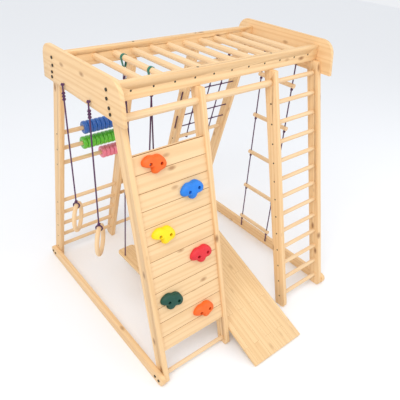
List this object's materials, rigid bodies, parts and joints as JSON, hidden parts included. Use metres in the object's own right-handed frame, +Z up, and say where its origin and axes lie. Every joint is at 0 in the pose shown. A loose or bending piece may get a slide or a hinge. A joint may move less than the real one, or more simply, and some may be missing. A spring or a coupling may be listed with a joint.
{
  "type": "climbing wall play gym",
  "caption": "Free-standing wooden A-frame play gym with a boarded climbing wall, ladders, monkey bars, slide, swing, gym rings, rope ladder, rope net and counting beads.",
  "frame": {"origin": "bottom centre of the whole gym's box, on the floor", "axes": "+X along the top beams towards the front ladder, -Y out of the climbing wall towards the slide's foot, +Z up"},
  "size_m": [1.4594, 1.5863, 1.555],
  "materials": {
    "pine": "clear oiled",
    "beech_dowel": "sanded",
    "pine_board": "clear oiled",
    "orange_plastic": "moulded",
    "blue_plastic": "moulded",
    "yellow_plastic": "moulded",
    "red_plastic": "moulded",
    "green_plastic": "moulded",
    "steel": "zinc plated",
    "plum_rope": "twisted cord",
    "green_webbing": "woven webbing",
    "blue_paint": "gloss painted",
    "green_paint": "gloss painted",
    "pink_paint": "gloss painted"
  },
  "bodies": {
    "frame": {"left_end_panel": "pine", "right_end_panel": "pine", "front_beam": "pine", "rear_beam": "pine", "monkey_bars": "beech_dowel", "wall_left_leg": "pine", "wall_right_leg": "pine", "wall_boards": "pine_board", "wall_battens": "pine", "wall_foot_bar": "beech_dowel", "upper_orange_hold": "orange_plastic", "blue_hold": "blue_plastic", "yellow_hold": "yellow_plastic", "red_hold": "red_plastic", "green_hold": "green_plastic", "lower_orange_hold": "orange_plastic", "hold_bolts": "steel", "hold_tee_nuts": "steel", "front_long_bar": "beech_dowel", "front_ladder_inner_leg": "pine", "front_ladder_outer_leg": "pine", "front_ladder_rungs": "beech_dowel", "rear_ladder_outer_leg": "pine", "rear_ladder_inner_leg": "pine", "rear_ladder_rungs": "beech_dowel", "bead_rungs": "beech_dowel", "rear_upper_bar": "beech_dowel", "rear_middle_bar": "beech_dowel", "rear_lower_bar": "beech_dowel", "net_inner_leg": "pine", "net_outer_leg": "pine", "net_crossbars": "beech_dowel", "net_row_rope": "plum_rope", "net_column_ropes": "plum_rope", "left_base_rail": "pine", "right_base_rail": "pine", "ring_rope_anchors": "plum_rope", "rope_ladder_rungs": "beech_dowel", "rope_ladder_front_rope": "plum_rope", "rope_ladder_rear_rope": "plum_rope", "panel_bolts": "steel", "beam_screws": "steel", "rung_screws": "steel", "rail_bolts": "steel"},
    "swing": {"swing_seat": "pine_board", "swing_front_rope": "plum_rope", "swing_rear_rope": "plum_rope", "swing_straps": "green_webbing", "swing_links": "steel"},
    "front_ring": {"front_gym_ring": "beech_dowel", "front_ring_rope": "plum_rope"},
    "rear_ring": {"rear_gym_ring": "beech_dowel", "rear_ring_rope": "plum_rope"},
    "blue_bead_row": {"blue_beads": "blue_paint"},
    "green_bead_row": {"green_beads": "green_paint"},
    "pink_bead_row": {"pink_beads": "pink_paint"},
    "slide": {"slide_board": "pine_board", "slide_hooks": "pine"}
  },
  "joints": [
    {"name": "swing_hinge", "type": "hinge", "parent": "frame", "child": "swing", "pos_m": [-0.32273, 0.13623, 1.479], "axis": [0, 1, 0], "range_deg": [-4.5, 13]},
    {"name": "front_ring_swing", "type": "hinge", "parent": "frame", "child": "front_ring", "pos_m": [-0.66763, -0.00677, 1.4], "axis": [0, 1, 0], "range_deg": [-8, 30]},
    {"name": "rear_ring_swing", "type": "hinge", "parent": "frame", "child": "rear_ring", "pos_m": [-0.66763, 0.25323, 1.4], "axis": [0, 1, 0], "range_deg": [-8, 30]},
    {"name": "blue_beads_slide", "type": "slide", "parent": "frame", "child": "blue_bead_row", "axis": [-1, 0, 0], "range_m": [0, 0.1264]},
    {"name": "green_beads_slide", "type": "slide", "parent": "frame", "child": "green_bead_row", "axis": [-1, 0, 0], "range_m": [0, 0.1264]},
    {"name": "pink_beads_slide", "type": "slide", "parent": "frame", "child": "pink_bead_row", "axis": [-1, 0, 0], "range_m": [0, 0.2579]},
    {"name": "slide_lift", "type": "hinge", "parent": "frame", "child": "slide", "pos_m": [0.02227, 0.61798, 0.52058], "axis": [-1, 0, 0], "range_deg": [0, 20]}
  ]
}
